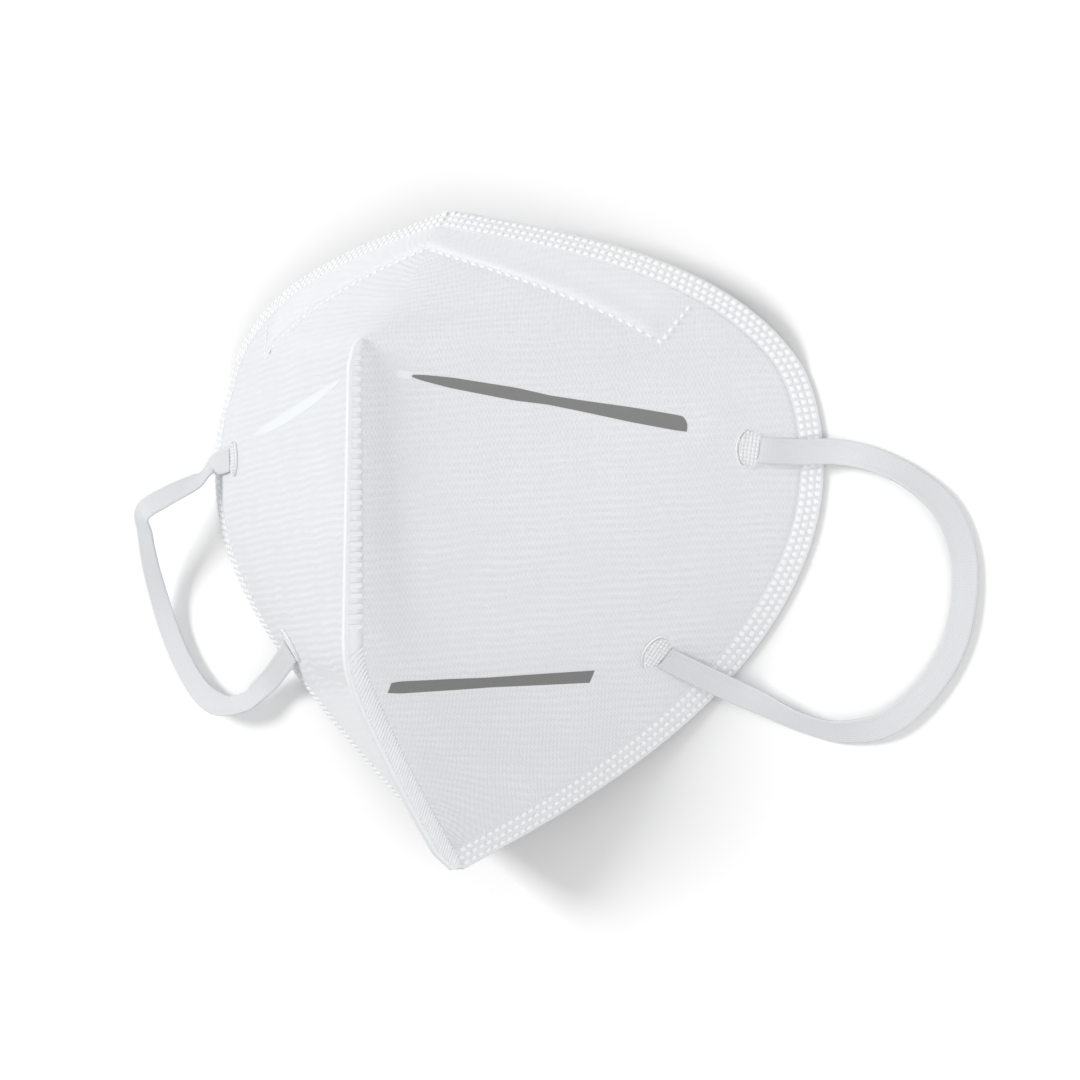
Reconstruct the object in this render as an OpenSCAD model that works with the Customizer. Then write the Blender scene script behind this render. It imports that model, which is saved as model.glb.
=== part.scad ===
// Disposable fold-flat dust mask, opened out and lying on its rim with the ridge upward.
// X runs across the face, Y from the chin (-) to the nose (+), Z away from the face.
// Every ply follows one surface, skin_z(x, y), and lies a set depth below it. The plies are split
// into a left wing, a right wing and the folds at nose and chin that bend when the mask closes.

/* [Outline] */
// Half of the width across the ears
half_w = 87.3; // [80:0.1:95]
// Distance from the middle to the nose tip, and to the chin tip
half_l = 79; // [74:1:84]
// Where along Y the mask is widest
ear_y = 17; // [10:1:22]
// How far the rim sweeps sideways from the nose tip before it turns down
nose_sweep = 46.5; // [40:0.5:50]
// Height of the ridge above the face
ridge_h = 62; // [58:0.5:68]
// Height of the rim at the nose tip
nose_h = 22; // [18:1:26]
// Height of the rim at the chin tip
chin_h = 19; // [15:1:23]
// Upper end of the straight ridge
ridge_top = 46.5; // [42:0.5:50]
// Lower end of the straight ridge
ridge_low = -28; // [-32:0.5:-24]

/* [Plies] */
// Thickness of the outer spunbond ply, measured upright
outer_t = 0.4; // [0.3:0.05:0.5]
// Room between the outer and the support ply, which holds the nose wire and the fused lines
loft = 0.8; // [0.7:0.05:1]
// Thickness of the thick support ply
support_t = 0.75; // [0.6:0.05:0.9]
// Thickness of each meltblown filter ply
filter_t = 0.25; // [0.2:0.05:0.35]
// Thickness of the soft inner ply
inner_t = 0.35; // [0.25:0.05:0.5]

/* [Edges and lines] */
// Width of the welded rim band, seen from above
rim_w = 4.4; // [4:0.1:6]
// Thickness of the welded rim band
rim_t = 1; // [0.8:0.1:1.2]
// Thickness of the welded centre fin
fin_t = 1.2; // [0.8:0.1:1.6]
// Width of the fin at the nose end of the ridge
fin_top_h = 4; // [3:0.5:5]
// Width of the fin where the ridge ends at the chin
fin_h = 7; // [5:0.5:8]
// Width of a pressed crease line
crease_w = 2.8; // [2:0.2:3.4]

/* [Nose] */
// Half of the length of the nose wire
wire_half = 50; // [42:1:52]
// Width of the nose wire, seen from above
wire_w = 3; // [2:0.2:3]
// Thickness of the nose wire
wire_t = 0.5; // [0.4:0.05:0.6]
// Depth of the foam strip inside the nose
foam_t = 3; // [2:0.5:4]

/* [Ear loops] */
// Width of the elastic
strap_w = 6; // [5:0.5:6.5]
// Thickness of the elastic
strap_t = 0.7; // [0.5:0.1:0.8]
// Length of a weld spot across the elastic
spot_l = 9; // [7.5:0.5:10]

/* [Hidden] */
$fn = 48;

// Clearances: between neighbours on one body, between two bodies, and strap above the skin
ply_gap = 0.05;
body_gap = 0.15;
fused_gap = 0.22;
foam_gap = 0.3;
strap_lift = 0.7;

// Depths of the ply faces below the skin
support_z = outer_t + loft;
filter_1_z = support_z + support_t + ply_gap;
filter_2_z = filter_1_z + filter_t + ply_gap;
inner_z = filter_2_z + filter_t + ply_gap;
stack = inner_z + inner_t;

// ---- The outline of the rim, right half, as two cubic curves from the nose to the chin ----
nose_drop = 9.7;
// How full the two curves are beside the ear, as a share of their length along Y
nose_fullness = 0.6935;
chin_fullness = 0.526;
nose_reach = nose_fullness * (half_l - ear_y);
chin_reach = chin_fullness * (half_l + ear_y);
chin_x = 8.5;
chin_rise = 6.3;
rim_steps = 24;
nose_curve = [[0, half_l], [nose_sweep, half_l - nose_drop],
              [half_w, ear_y + nose_reach], [half_w, ear_y]];
chin_curve = [[half_w, ear_y], [half_w, ear_y - chin_reach],
              [chin_x, chin_rise - half_l], [0, -half_l]];

function cubic(p, t) = pow(1 - t, 3) * p[0] + 3 * pow(1 - t, 2) * t * p[1]
                       + 3 * (1 - t) * t * t * p[2] + pow(t, 3) * p[3];
// A point of the rim; t runs from 0 at the nose through 1 at the ear to 2 at the chin
function rim(t) = t <= 1 ? cubic(nose_curve, t) : cubic(chin_curve, t - 1);
function unit(v) = v / norm(v);
// A point a set distance inside the rim, kept on its own side of the middle
function inset(t, d) = let (e = 0.01, a = rim(max(t - e, 0)), b = rim(min(t + e, 2)),
                            u = unit(b - a), p = rim(t) + d * [u.y, -u.x])
                       [max(p.x, 0), p.y];

rim_table = [for (i = [0 : 2 * rim_steps]) rim(i / rim_steps)];
rim_by_y = [for (p = rim_table) [p.y, p.x]];
function rim_x(y) = lookup(y, rim_by_y);
// The t that lies a set distance further along the rim
function t_along(t, d) = let (e = 0.005) t + d * 2 * e / norm(rim(t + e) - rim(t - e));

// ---- The skin: the outer face of the mask, as a height over (x, y) ----
rim_base = rim_t;
lift_nose = 39;
lift_chin = -26;
chin_round = 1.7;
skin_round = 1.2;
blend = 1.5;

// The height of the rim: flat beside the ears, rising to the nose and to the chin
function rim_z(y) =
    let (n = min(max((y - lift_nose) / (half_l - lift_nose), 0), 1),
         c = min(max((lift_chin - y) / (lift_chin + half_l), 0), 1))
    rim_base + (nose_h - rim_base) * pow(n, 1.2) + (chin_h - rim_base) * pow(c, 2.2);
// The height along the middle: chin slope, straight ridge and nose slope, blended at the corners
function middle_z(y) =
    let (n = nose_h + (ridge_h - nose_h) * (half_l - y) / (half_l - ridge_top),
         s = (y + half_l) / (ridge_low + half_l),
         q = min(max(s, 0), 1),
         c = chin_h + (ridge_h - chin_h) * s + 4 * chin_round * q * (1 - q))
    -blend * ln(exp(-ridge_h / blend) + exp(-n / blend) + exp(-c / blend));
function skin_z(x, y) =
    let (w = max(rim_x(y), 0.5), u = min(abs(x) / w, 1), m = middle_z(y), r = rim_z(y))
    m - (m - r) * u + 4 * skin_round * u * (1 - u);
function skin(p, lift = 0) = [p.x, p.y, skin_z(p.x, p.y) + lift];
function skin_normal(p) =
    let (e = 0.5,
         gx = (skin_z(p.x + e, p.y) - skin_z(p.x - e, p.y)) / (2 * e),
         gy = (skin_z(p.x, p.y + e) - skin_z(p.x, p.y - e)) / (2 * e))
    unit([-gx, -gy, 1]);

// A closed slab under the skin. Rows run toward the nose, and points in a row away from -X.
module slab(rows, top, bottom) {
    n = len(rows);
    m = len(rows[0]);
    upper = [for (r = rows) for (p = r) skin(p, -top)];
    lower = [for (r = rows) for (p = r) skin(p, -bottom)];
    size = n * m;
    cells = [for (i = [0 : n - 2]) for (j = [0 : m - 2]) i * m + j];
    faces = concat(
        [for (k = cells) each [[k, k + m, k + m + 1], [k, k + m + 1, k + 1]]],
        [for (k = cells) each [[size + k, size + k + m + 1, size + k + m],
                               [size + k, size + k + 1, size + k + m + 1]]],
        [for (j = [0 : m - 2]) each [[j, j + 1, size + j + 1], [j, size + j + 1, size + j]]],
        [for (j = [0 : m - 2]) let (k = size - m + j)
            each [[k, size + k, size + k + 1], [k, size + k + 1, k + 1]]],
        [for (i = [0 : n - 2]) let (k = i * m)
            each [[k, size + k, size + k + m], [k, size + k + m, k + m]]],
        [for (i = [0 : n - 2]) let (k = i * m + m - 1)
            each [[k, k + m, size + k + m], [k, size + k + m, size + k]]]);
    polyhedron(concat(upper, lower), faces, convexity = 6);
}

function mix(a, b, t) = a + (b - a) * t;
function row(a, b, n) = [for (j = [0 : n]) mix(a, b, j / n)];
// A row that runs from the left rim over the middle to the right rim
function wide_row(mid, side, n) =
    concat([for (j = [n : -1 : 1]) mix(mid, [-side.x, side.y], j / n)], row(mid, side, n));

// ---- Where the wings end and the folds begin ----
wing_top = ridge_top - 2.5;
wing_low = ridge_low + 4;
wing_top_t = 0.46;
wing_low_t = 1.4;
tip_nose_t = 0.03;
tip_chin_t = 1.88;
wing_rows = 16;
fold_rows = 10;
columns = 9;
// Where the folds begin along the rim, a short gap past the ends of the wings
rim_gap = 0.65;
fold_top_t = t_along(wing_top_t, -rim_gap);
fold_low_t = t_along(wing_low_t, rim_gap);

// Where the chin fold ends on the middle line, level with its rim ends
chin_end_y = inset(tip_chin_t, rim_w).y - 0.5;

wing_grid = [for (i = [0 : wing_rows]) let (s = i / wing_rows)
    row([body_gap, mix(wing_low, wing_top, s)],
        inset(mix(wing_low_t, wing_top_t, s), rim_w + ply_gap), columns)];
nose_grid = [for (i = [0 : fold_rows]) let (s = i / fold_rows,
                 side = inset(mix(fold_top_t, tip_nose_t, s), rim_w + ply_gap))
    wide_row([0, mix(wing_top + 2 * body_gap, half_l - rim_w - 1.4, s)], side, columns)];
chin_grid = [for (i = [0 : fold_rows]) let (s = i / fold_rows,
                 side = inset(mix(tip_chin_t, fold_low_t, s), rim_w + ply_gap))
    wide_row([0, mix(chin_end_y, wing_low - 2 * body_gap, s)], side, columns)];

module wing(top, thick) {
    slab(wing_grid, top, top + thick);
}
module folds(top, thick) {
    slab(nose_grid, top, top + thick);
    slab(chin_grid, top, top + thick);
}
module left() {
    mirror([1, 0, 0]) children();
}

// ---- The five plies, from the outside in ----
module outer_ply_left() color("#e9eaee") left() wing(0, outer_t);
module outer_ply_right() color("#e9eaee") wing(0, outer_t);
module outer_ply_folds() color("#e9eaee") folds(0, outer_t);
module support_ply_left() color("#f4f4f2") left() wing(support_z, support_t);
module support_ply_right() color("#f4f4f2") wing(support_z, support_t);
module support_ply_folds() color("#f4f4f2") folds(support_z, support_t);
module filter_ply_1_left() color("#fbfbfb") left() wing(filter_1_z, filter_t);
module filter_ply_1_right() color("#fbfbfb") wing(filter_1_z, filter_t);
module filter_ply_1_folds() color("#fbfbfb") folds(filter_1_z, filter_t);
module filter_ply_2_left() color("#fbfbfb") left() wing(filter_2_z, filter_t);
module filter_ply_2_right() color("#fbfbfb") wing(filter_2_z, filter_t);
module filter_ply_2_folds() color("#fbfbfb") folds(filter_2_z, filter_t);
module inner_ply_left() color("#eeeeef") left() wing(inner_z, inner_t);
module inner_ply_right() color("#eeeeef") wing(inner_z, inner_t);
module inner_ply_folds() color("#eeeeef") folds(inner_z, inner_t);

// ---- The welded rim: a band around the edge, where all plies are fused ----
rim_rows = 20;
function band_row(t) = [inset(t, rim_w), inset(t, rim_w / 2), rim(t)];
function flip(r) = [for (p = r) [-p.x, p.y]];
rim_wing = [for (i = [0 : rim_rows]) band_row(mix(wing_low_t, wing_top_t, i / rim_rows))];
// The band stops just short of both tips
tip_t = 0.02;
tip_trim = half_l - rim(tip_t).y;
nose_ts = [for (i = [0 : fold_rows + 2]) mix(fold_top_t, tip_t, i / (fold_rows + 2))];
rim_nose = concat([for (t = nose_ts) band_row(t)],
                  [for (i = [len(nose_ts) - 1 : -1 : 0]) flip(band_row(nose_ts[i]))]);
chin_tip = [[body_gap, rim(2).y + rim_w * 1.25], [body_gap, rim(2).y + rim_w * 0.6],
            [body_gap, tip_trim - half_l]];
rim_chin = concat([chin_tip], [for (i = [0 : fold_rows])
    band_row(mix(tip_chin_t, fold_low_t, i / fold_rows))]);

module rim_weld_left() color("#e4e6ea") left() slab(rim_wing, 0, rim_t);
module rim_weld_right() color("#e4e6ea") slab(rim_wing, 0, rim_t);
module rim_weld_folds() color("#e4e6ea") {
    slab(rim_nose, 0, rim_t);
    slab(rim_chin, 0, rim_t);
    left() slab(rim_chin, 0, rim_t);
}

// ---- The centre seam: a welded fin along the ridge, and its run down to the chin ----
fin_steps = 20;
fin_tip_h = 6;
fin_gap = 0.3;
fin_end_y = 0.5 - half_l;
// Away from the ridge line, in the plane of the fin
function ridge_out(y) = let (e = 0.5) unit([(middle_z(y - e) - middle_z(y + e)) / (2 * e), 1]);
function fin_point(y, h) = let (p = [y, middle_z(y)] + h * ridge_out(y)) [max(p.x, fin_end_y), p.y];
module fin(from_y, to_y, from_h, to_h) {
    ys = [for (i = [0 : fin_steps]) mix(from_y, to_y, i / fin_steps)];
    low = [for (y = ys) fin_point(y, fin_gap)];
    high = [for (i = [fin_steps : -1 : 0]) fin_point(ys[i], mix(from_h, to_h, i / fin_steps))];
    translate([-fin_t / 2, 0, 0])
        rotate([90, 0, 90])
            linear_extrude(fin_t)
                polygon(concat(low, high));
}
module centre_seam() color("#e1e3e7") fin(ridge_top, wing_low, fin_top_h, fin_h);
module chin_seam() color("#e1e3e7") fin(wing_low - 2 * body_gap, fin_end_y, fin_h, fin_tip_h);

// ---- Nose wire, foam and the seam that closes the wire's pocket ----
// A band inside the rim, over the middle, out to +-reach. Its distance from the rim changes
// from mid_d in the middle to end_d at its ends.
nose_steps = 18;
function nose_t(reach, d) = // the t at which the inset line has x = reach
    let (ts = [for (i = [0 : 60]) let (t = i / 100) [inset(t, d).x, t]]) lookup(reach, ts);
function nose_band(reach, mid_d, end_d, w) =
    let (t1 = nose_t(reach, end_d), t0 = nose_t(0.5, mid_d),
         half = [for (i = [0 : nose_steps])
             let (t = mix(t1, t0, i / nose_steps), d = mix(end_d, mid_d, i / nose_steps))
             [inset(t, d + w / 2), inset(t, d), inset(t, d - w / 2)]])
    concat(half, [for (i = [nose_steps : -1 : 0]) flip(half[i])]);

wire_inset = 7.5;
foam_inset = 16;
foam_w = 9;
foam_half = 36;
pocket_w = 1.2;
pocket_half = 56;
pocket_mid_inset = 9.8;
pocket_end_inset = 15.6;
seat = (loft - wire_t) / 2;
fused_top = outer_t + fused_gap;
fused_low = support_z - fused_gap;
module nose_wire() color("#c9ccd1")
    slab(nose_band(wire_half, wire_inset, wire_inset, wire_w), outer_t + seat, outer_t + seat + wire_t);
module nose_foam() color("#f6f5f0")
    slab(nose_band(foam_half, foam_inset, foam_inset, foam_w), stack + foam_gap, stack + foam_gap + foam_t);
module wire_pocket_seam() color("#dfe1e5")
    slab(nose_band(pocket_half, pocket_mid_inset, pocket_end_inset, pocket_w), fused_top, fused_low);

// ---- Four crease lines, pressed into the plies of each wing ----
// Ends of the upper and the lower line on the right half
upper_crease = [[9.5, 38], [half_w - 25.3, 26.5]];
lower_crease = [[3.2, -33.5], [39.4, -31.5]];
crease_steps = 10;
module crease(line) {
    u = unit(line[1] - line[0]);
    side = crease_w / 2 * [u.y, -u.x];
    rows = [for (s = [1, 0, -1]) [for (j = [0 : crease_steps])
        mix(line[0], line[1], j / crease_steps) + s * side]];
    slab(rows, fused_top, fused_low);
}
module crease_upper_left() color("#c4c6ca") left() crease(upper_crease);
module crease_upper_right() color("#c4c6ca") crease(upper_crease);
module crease_lower_left() color("#c4c6ca") left() crease(lower_crease);
module crease_lower_right() color("#c4c6ca") crease(lower_crease);

// ---- Weld spots that hold the ends of the ear loops, with the short tail of elastic ----
upper_spot = [half_w - 13.8, ear_y + 4];
lower_spot = [52, -26];
// Directions in which the elastic leaves the two spots, seen from above
upper_way = [1, -0.1];
lower_way = [0.8, -0.6];
spot_w = 6;
spot_t = 1.1;
tail_l = 2.9;
hinge_out = 4.2;
function spot_x(p, way) = let (n = skin_normal(p), w = [way.x, way.y, 0]) unit(w - (w * n) * n);
function hinge_at(p, way) = skin(p) + hinge_out * spot_x(p, way) + strap_lift * skin_normal(p);
module spot(p, way) {
    n = skin_normal(p);
    lean = acos(n.z);
    turn = atan2(n.y, n.x);
    downhill = [cos(turn) * cos(lean), sin(turn) * cos(lean), -sin(lean)];
    ahead = spot_x(p, way);
    spin = atan2(ahead * cross(n, downhill), ahead * downhill);
    foot = 0.2;
    translate(skin(p))
        rotate([0, 0, turn])
            rotate([0, lean, 0])
                rotate([0, 0, spin])
                    translate([0, 0, foot]) {
                        linear_extrude(spot_t) {
                            for (s = [-1, 1])
                                translate([0, s * (spot_l - spot_w) / 2])
                                    circle(d = spot_w);
                            square([spot_w, spot_l - spot_w], center = true);
                        }
                        translate([0, -strap_w / 2, 0])
                            cube([tail_l, strap_w, strap_t]);
                    }
}
module loop_weld_upper_left() color("#dcdee2") left() spot(upper_spot, upper_way);
module loop_weld_upper_right() color("#dcdee2") spot(upper_spot, upper_way);
module loop_weld_lower_left() color("#dcdee2") left() spot(lower_spot, lower_way);
module loop_weld_lower_right() color("#dcdee2") spot(lower_spot, lower_way);

// ---- Ear loops: flat elastic that leaves the upper spot, lies on the table and comes back ----
right_route = [[84, 20, 5], [92, 20, 2.5], [101, 18, 3], [110, 14, 3.5], [118, 7, 2.5], [122, -3, 1.5],
               [122, -14, 1.2], [119, -25, 1.2], [112, -35, 1.5], [103, -42, 2], [92, -44, 2.5],
               [82, -42, 3], [73, -38, 4.5], [66, -35, 6]];
left_route = [[84, 19.5, 5.5], [87.4, 15.7, 8], [93.6, 11.6, 13], [99.1, 7.5, 16], [100.9, 2.1, 13],
              [102.9, -6.8, 8], [102.8, -15.5, 4.5], [100.7, -23.9, 3], [96.2, -32.4, 3],
              [89.3, -39.8, 4], [81.8, -42.6, 5], [74.4, -41.1, 5], [71, -38.5, 5], [66, -35, 6]];
strap_rings = 36;
strap_start = 1;
edge_t = 0.2;
function strap_end(p, way) = hinge_at(p, way) + strap_start * spot_x(p, way);
function whole_route(mid) = concat([strap_end(upper_spot, upper_way)], mid,
                                   [strap_end(lower_spot, lower_way)]);
// A smooth curve through the route's points, as one span of a Catmull-Rom curve
function catmull(a, b, c, d, t) = 0.5 * (2 * b + (c - a) * t + (2 * a - 5 * b + 4 * c - d) * t * t
                                         + (3 * b - a - 3 * c + d) * pow(t, 3));
function along(r, s) = let (n = len(r) - 1, k = min(floor(s * n), n - 1), t = s * n - k)
    catmull(r[max(k - 1, 0)], r[k], r[k + 1], r[min(k + 2, n)], t);
// The elastic lies flat: against the skin over the mask, level once it is clear of the rim
clear_d = 16;
function strap_up(p) =
    let (out = norm([p.x, p.y - ear_y / 2]) - norm([rim_x(p.y), p.y - ear_y / 2]),
         k = min(max((out + 4) / clear_d, 0), 1),
         q = [min(p.x, rim_x(p.y) - 4), p.y])
    unit(mix(skin_normal(q), [0, 0, 1], k));
strap_section = [for (s = [[1, -1], [1, 1], [-1, 1], [-1, -1]])
    each s[0] * s[1] < 0 ? [[s[0] * (strap_w / 2 - edge_t), s[1] * strap_t / 2],
                            [s[0] * strap_w / 2, s[1] * edge_t]]
                         : [[s[0] * strap_w / 2, s[1] * edge_t],
                            [s[0] * (strap_w / 2 - edge_t), s[1] * strap_t / 2]]];
module strap(mid) {
    r = whole_route(mid);
    sides = len(strap_section);
    rings = [for (i = [0 : strap_rings])
        let (s = i / strap_rings, p = along(r, s),
             t = unit(along(r, min(s + 0.004, 1)) - along(r, max(s - 0.004, 0))),
             u = strap_up(p), flat = unit(u - (u * t) * t), across = cross(t, flat))
        [for (q = strap_section) p + q.x * across + q.y * flat]];
    points = [for (g = rings) each g];
    walls = [for (i = [0 : strap_rings - 1]) for (j = [0 : sides - 1])
        let (a = i * sides + j, b = i * sides + (j + 1) % sides)
        each [[a, b, b + sides], [a, b + sides, a + sides]]];
    ends = [[for (j = [sides - 1 : -1 : 0]) j], [for (j = [0 : sides - 1]) strap_rings * sides + j]];
    polyhedron(points, concat(walls, ends), convexity = 8);
}
module ear_loop_left() color("#eceded") left() strap(left_route);
module ear_loop_right() color("#eceded") strap(right_route);

outer_ply_left();
outer_ply_right();
outer_ply_folds();
support_ply_left();
support_ply_right();
support_ply_folds();
filter_ply_1_left();
filter_ply_1_right();
filter_ply_1_folds();
filter_ply_2_left();
filter_ply_2_right();
filter_ply_2_folds();
inner_ply_left();
inner_ply_right();
inner_ply_folds();
rim_weld_left();
rim_weld_right();
rim_weld_folds();
centre_seam();
chin_seam();
nose_wire();
nose_foam();
wire_pocket_seam();
crease_upper_left();
crease_upper_right();
crease_lower_left();
crease_lower_right();
loop_weld_upper_left();
loop_weld_upper_right();
loop_weld_lower_left();
loop_weld_lower_right();
ear_loop_left();
ear_loop_right();
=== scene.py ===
import math

import bpy
import numpy as np
from mathutils import Matrix, Vector


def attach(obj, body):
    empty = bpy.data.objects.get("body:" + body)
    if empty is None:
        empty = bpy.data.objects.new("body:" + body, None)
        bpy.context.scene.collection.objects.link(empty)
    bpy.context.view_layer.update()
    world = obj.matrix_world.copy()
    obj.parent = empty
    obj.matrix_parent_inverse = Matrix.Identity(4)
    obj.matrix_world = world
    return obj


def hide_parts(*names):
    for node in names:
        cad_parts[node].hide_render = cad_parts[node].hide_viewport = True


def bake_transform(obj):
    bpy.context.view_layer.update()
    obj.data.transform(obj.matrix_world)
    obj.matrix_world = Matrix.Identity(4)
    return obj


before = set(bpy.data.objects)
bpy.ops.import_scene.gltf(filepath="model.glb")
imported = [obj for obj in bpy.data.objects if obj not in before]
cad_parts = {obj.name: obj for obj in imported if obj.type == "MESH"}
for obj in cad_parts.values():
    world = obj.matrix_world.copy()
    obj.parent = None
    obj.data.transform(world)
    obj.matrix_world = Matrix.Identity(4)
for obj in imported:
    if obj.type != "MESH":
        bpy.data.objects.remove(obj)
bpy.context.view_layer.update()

# ---- Camera ----
# It looks down on the mask from the side of its right ear loop, with almost no perspective.
camera_lean = math.radians(31.74)
camera_nod = math.radians(0.45)
camera_roll = math.radians(0.36)
camera_reach = 0.75
back = Vector((math.sin(camera_lean) * math.cos(camera_nod), math.sin(camera_nod),
               math.cos(camera_lean) * math.cos(camera_nod)))
level = Vector((math.cos(camera_lean), 0, -math.sin(camera_lean)))
upright = back.cross(level)
across = level * math.cos(camera_roll) - upright * math.sin(camera_roll)
up = level * math.sin(camera_roll) + upright * math.cos(camera_roll)
camera_data = bpy.data.cameras.new("camera")
camera_data.lens = 102
camera_data.shift_x = 0.0343
camera_data.shift_y = 0.0028
camera = bpy.data.objects.new("camera", camera_data)
bpy.context.scene.collection.objects.link(camera)
stand = Matrix((across, up, back)).transposed().to_4x4()
stand.translation = Vector((0, -0.00075, 0)) + back * camera_reach
camera.matrix_world = stand
bpy.context.scene.camera = camera

# ---- Ear loops ----
# Each loop is one length of flat knitted elastic. Both its ends are welded to the outer ply, so it
# leaves and meets the mask flat against the skin. In between, the right one lies on the table and
# the left one rises to a corner.
half_w = 0.0873
half_l = 0.079
ear_y = 0.017
nose_curve = np.array([[0, half_l], [0.0465, half_l - 0.0097],
                       [half_w, ear_y + 0.6935 * (half_l - ear_y)], [half_w, ear_y]])
chin_curve = np.array([[half_w, ear_y], [half_w, ear_y - 0.526 * (half_l + ear_y)],
                       [0.0085, 0.0063 - half_l], [0, -half_l]])
ridge_h, nose_h, chin_h = 0.062, 0.022, 0.019
ridge_top, ridge_low = 0.0465, -0.028
rim_t = 0.001


def cubic(p, t):
    """A point of the cubic curve with the four handles p."""
    t = np.asarray(t, float)[..., None]
    s = 1 - t
    return s ** 3 * p[0] + 3 * s * s * t * p[1] + 3 * s * t * t * p[2] + t ** 3 * p[3]


def unit(v):
    return v / np.linalg.norm(v, axis=-1, keepdims=True)


def travel_along(points):
    """Distance from the first point of a line to each of its points."""
    return np.concatenate([[0], np.cumsum(np.linalg.norm(np.diff(points, axis=0), axis=1))])


def rim(t):
    """A point of the mask's edge, right half: t is 0 at the nose, 1 at the ear, 2 at the chin."""
    t = np.asarray(t, float)
    return np.where((t <= 1)[..., None], cubic(nose_curve, np.minimum(t, 1)),
                    cubic(chin_curve, np.maximum(t - 1, 0)))


def inset(t, d):
    """A point a distance d inside the edge, kept on its own side of the middle."""
    t = np.asarray(t, float)
    u = unit(rim(np.minimum(t + 0.01, 2)) - rim(np.maximum(t - 0.01, 0)))
    p = rim(t) + np.asarray(d)[..., None] * np.stack([u[..., 1], -u[..., 0]], -1)
    return np.stack([np.maximum(p[..., 0], 0), p[..., 1]], -1)


edge = rim(np.linspace(2, 0, 601))


def middle_z(y):
    """Height of the skin along the middle: chin slope, straight ridge and nose slope."""
    rounding = 0.0015
    nose = nose_h + (ridge_h - nose_h) * (half_l - y) / (half_l - ridge_top)
    s = (y + half_l) / (ridge_low + half_l)
    q = np.clip(s, 0, 1)
    chin = chin_h + (ridge_h - chin_h) * s + 4 * 0.0017 * q * (1 - q)
    lowest = np.minimum(np.minimum(nose, chin), ridge_h)
    total = sum(np.exp((lowest - z) / rounding) for z in (nose, chin, ridge_h))
    return lowest - rounding * np.log(total)


def skin_z(x, y):
    """Height of the mask's outer face over a point of the table."""
    x, y = np.asarray(x, float), np.asarray(y, float)
    nose = np.clip((y - 0.039) / (half_l - 0.039), 0, 1)
    chin = np.clip((-0.026 - y) / (half_l - 0.026), 0, 1)
    low = rim_t + (nose_h - rim_t) * nose ** 1.2 + (chin_h - rim_t) * chin ** 2.2
    half = np.maximum(np.interp(y, edge[:, 1], edge[:, 0]), 0.0005)
    u = np.minimum(np.abs(x) / half, 1)
    high = middle_z(y)
    return high - (high - low) * u + 4 * 0.0012 * u * (1 - u)


def skin(xy, lift=0.0):
    xy = np.asarray(xy, float)
    return np.concatenate([xy, (skin_z(xy[..., 0], xy[..., 1]) + lift)[..., None]], -1)


def skin_normal(xy):
    xy, e = np.asarray(xy, float), 0.0005
    gx = skin_z(xy[..., 0] + e, xy[..., 1]) - skin_z(xy[..., 0] - e, xy[..., 1])
    gy = skin_z(xy[..., 0], xy[..., 1] + e) - skin_z(xy[..., 0], xy[..., 1] - e)
    return unit(np.stack([-gx, -gy, np.full_like(gx, 2 * e)], -1))


def make_piece(name, points, faces, finish, uv=None):
    """A finished object at the origin, with its place in its mesh. uv has one pair per vertex."""
    mesh = bpy.data.meshes.new(name)
    mesh.from_pydata(np.asarray(points).tolist(), [], faces)
    mesh.materials.append(finish)
    mesh.shade_smooth()
    if uv is not None:
        layer = mesh.uv_layers.new(name="weave")
        corner = np.zeros(len(mesh.loops), np.int32)
        mesh.loops.foreach_get("vertex_index", corner)
        layer.data.foreach_set("uv", np.asarray(uv, np.float32)[corner].ravel())
    piece = bpy.data.objects.new(name, mesh)
    bpy.context.scene.collection.objects.link(piece)
    return piece


def swept_faces(rings, sides, closed=False):
    """Faces between the rings of a swept shape. Its ends meet, or else each gets a flat face."""
    faces = [(i * sides + j, i * sides + (j + 1) % sides, (i + 1) % rings * sides + (j + 1) % sides,
              (i + 1) % rings * sides + j)
             for i in range(rings if closed else rings - 1) for j in range(sides)]
    if not closed:
        faces += [tuple(range(sides))[::-1], tuple((rings - 1) * sides + j for j in range(sides))]
    return faces


class Signal:
    """One value in a material. Arithmetic on it adds Math nodes."""

    def __init__(self, finish, socket):
        self.finish, self.socket = finish, socket

    def math(self, operation, first, second=0.0, third=0.0):
        return self.finish.node("Math", {"operation": operation}, {0: first, 1: second, 2: third})

    def __add__(self, other):
        return self.math("ADD", self, other)

    def __sub__(self, other):
        return self.math("SUBTRACT", self, other)

    def __rsub__(self, other):
        return self.math("SUBTRACT", other, self)

    def __mul__(self, other):
        return self.math("MULTIPLY", self, other)

    __radd__ = __add__
    __rmul__ = __mul__

    def wave(self, pitch):
        """A cosine that repeats after each pitch of this value."""
        return self.math("COSINE", self * (2 * math.pi / pitch))

    def step(self, low, high):
        """0 below low, 1 above high and smooth between."""
        return self.finish.node("MapRange", {"interpolation_type": "SMOOTHSTEP"},
                                {0: self, 1: low, 2: high})


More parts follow.
